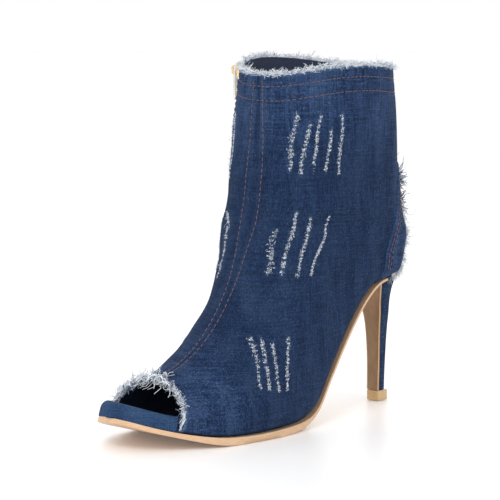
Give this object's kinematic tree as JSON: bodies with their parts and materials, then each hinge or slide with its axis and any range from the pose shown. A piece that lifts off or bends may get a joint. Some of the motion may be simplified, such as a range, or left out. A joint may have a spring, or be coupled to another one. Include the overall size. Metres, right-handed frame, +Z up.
{
  "type": "ankle boot",
  "caption": "Left denim ankle boot with an open toe, a slim covered stiletto heel, raw frayed edges, worn slashes and an inner-side zip with a hinged pull tab.",
  "frame": {"origin": "middle of the heel tip's ground face", "axes": "+X towards the toe, +Y to the outer side of the foot, +Z up"},
  "size_m": [0.2249, 0.0781, 0.211],
  "materials": {
    "denim": "indigo denim, lightly worn",
    "footbed_denim": "lighter denim over a board",
    "sole": "smooth tan edge",
    "breast": "smooth tan",
    "heel_tip": "gold tan",
    "zip_fabric": "dark woven tape",
    "zip_coil": "dark moulded coil",
    "slider_metal": "polished",
    "tab_metal": "polished",
    "thread": "frayed cotton"
  },
  "bodies": {
    "boot": {"upper": "denim", "outsole": "sole", "insole": "footbed_denim", "heel": "denim", "heel_breast": "breast", "top_piece": "heel_tip", "counter": "denim", "zip_tape": "zip_fabric", "zip_teeth": "zip_coil", "zip_slider": "slider_metal", "collar_fringe": "thread", "toe_fringe": "thread", "back_fringe_outer": "thread", "back_fringe_inner": "thread"},
    "pull_tab": {"pull_tab": "tab_metal"}
  },
  "joints": [
    {"name": "pull_tab_hinge", "type": "hinge", "parent": "boot", "child": "pull_tab", "pos_m": [0.0911, -0.03219, 0.2009], "axis": [-0.8387, -0.5446, 0], "range_deg": [0, 165]}
  ]
}
